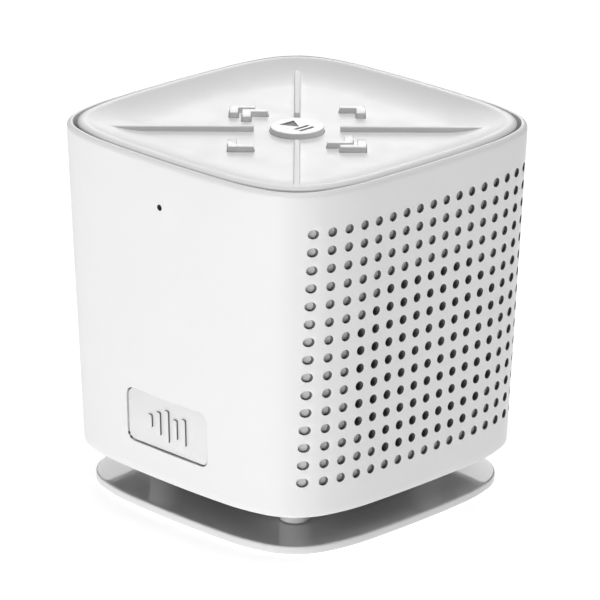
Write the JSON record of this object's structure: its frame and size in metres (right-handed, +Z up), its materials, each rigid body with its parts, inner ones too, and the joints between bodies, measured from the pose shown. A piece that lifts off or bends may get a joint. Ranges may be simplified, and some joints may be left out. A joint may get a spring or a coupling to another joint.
{
  "type": "smart speaker",
  "caption": "Cube-shaped speaker with a dished key panel on top, perforated sides over drivers, and a thin plate on short posts under a bass radiator.",
  "frame": {"origin": "on the floor, under the middle of the speaker", "axes": "+Z up; the front, with the microphone and the name plate, faces -Y; the drivers fire along +X and -X; the sockets are on the +Y side"},
  "size_m": [0.082, 0.082, 0.0835],
  "materials": {
    "satin_white": "satin moulded plastic",
    "gloss_white": "polished moulded plastic",
    "grey_plastic": "fine-textured moulded plastic",
    "black_plastic": "fine-textured moulded plastic",
    "black_rubber": "matt moulded rubber",
    "cone_paper": "pressed paper pulp",
    "steel": "bright plated steel",
    "ferrite": "sintered ferrite, dull",
    "copper": "enamelled copper wire",
    "board_green": "solder-masked circuit board",
    "cell_sleeve": "shrink sleeve",
    "light_guide": "clear moulded plastic, polished",
    "foam": "closed-cell foam"
  },
  "bodies": {
    "case": {"aux_socket": "black_plastic", "base_plate": "gloss_white", "battery_cell": "cell_sleeve", "battery_cradle": "grey_plastic", "bottom_panel": "grey_plastic", "corner_screw_front_left": "steel", "corner_screw_front_right": "steel", "corner_screw_rear_left": "steel", "corner_screw_rear_right": "steel", "foot_pad_front_left": "black_rubber", "foot_pad_front_right": "black_rubber", "foot_pad_rear_left": "black_rubber", "foot_pad_rear_right": "black_rubber", "housing": "satin_white", "key_board": "board_green", "left_basket": "black_plastic", "left_gasket": "foam", "left_magnet": "ferrite", "left_surround": "black_rubber", "left_yoke": "steel", "light_pipe": "light_guide", "main_board": "board_green", "mic_boot": "black_rubber", "mic_capsule": "steel", "name_plate": "gloss_white", "next_switch": "steel", "play_switch": "steel", "post_front_left": "satin_white", "post_front_right": "satin_white", "post_rear_left": "satin_white", "post_rear_right": "satin_white", "post_screw_front_left": "steel", "post_screw_front_right": "steel", "post_screw_rear_left": "steel", "post_screw_rear_right": "steel", "power_switch": "steel", "previous_switch": "steel", "radiator_ring": "grey_plastic", "radiator_surround": "black_rubber", "radio_shield": "steel", "right_basket": "black_plastic", "right_gasket": "foam", "right_magnet": "ferrite", "right_surround": "black_rubber", "right_yoke": "steel", "top_panel": "satin_white", "usb_socket": "steel", "volume_down_switch": "steel", "volume_up_switch": "steel"},
    "play_key": {"play_key": "gloss_white"},
    "volume_up_key": {"volume_up_key": "gloss_white"},
    "volume_down_key": {"volume_down_key": "gloss_white"},
    "next_key": {"next_key": "gloss_white"},
    "previous_key": {"previous_key": "gloss_white"},
    "power_slider": {"power_slider": "black_plastic"},
    "right_driver_cone": {"right_cone": "cone_paper", "right_voice_coil": "copper"},
    "left_driver_cone": {"left_cone": "cone_paper", "left_voice_coil": "copper"},
    "bass_radiator": {"radiator_plate": "steel"}
  },
  "joints": [
    {"name": "play_press", "type": "slide", "parent": "case", "child": "play_key", "axis": [0, 0, -1], "range_m": [0, 0.0005], "stiffness_N_per_m": 1200},
    {"name": "volume_up_press", "type": "slide", "parent": "case", "child": "volume_up_key", "axis": [0, 0, -1], "range_m": [0, 0.0005], "stiffness_N_per_m": 1200},
    {"name": "volume_down_press", "type": "slide", "parent": "case", "child": "volume_down_key", "axis": [0, 0, -1], "range_m": [0, 0.0005], "stiffness_N_per_m": 1200},
    {"name": "next_press", "type": "slide", "parent": "case", "child": "next_key", "axis": [0, 0, -1], "range_m": [0, 0.0005], "stiffness_N_per_m": 1200},
    {"name": "previous_press", "type": "slide", "parent": "case", "child": "previous_key", "axis": [0, 0, -1], "range_m": [0, 0.0005], "stiffness_N_per_m": 1200},
    {"name": "power_slide", "type": "slide", "parent": "case", "child": "power_slider", "axis": [1, 0, 0], "range_m": [0, 0.002]},
    {"name": "right_cone_stroke", "type": "slide", "parent": "case", "child": "right_driver_cone", "axis": [0.9995, 0, -0.0307], "range_m": [-0.001, 0.001], "stiffness_N_per_m": 1500, "deforming": ["right_surround"]},
    {"name": "left_cone_stroke", "type": "slide", "parent": "case", "child": "left_driver_cone", "axis": [-0.9995, 0, -0.0307], "range_m": [-0.001, 0.001], "stiffness_N_per_m": 1500, "deforming": ["left_surround"]},
    {"name": "radiator_stroke", "type": "slide", "parent": "case", "child": "bass_radiator", "axis": [0, 0, 1], "range_m": [-0.0015, 0.0015], "stiffness_N_per_m": 1500, "deforming": ["radiator_surround"]}
  ]
}
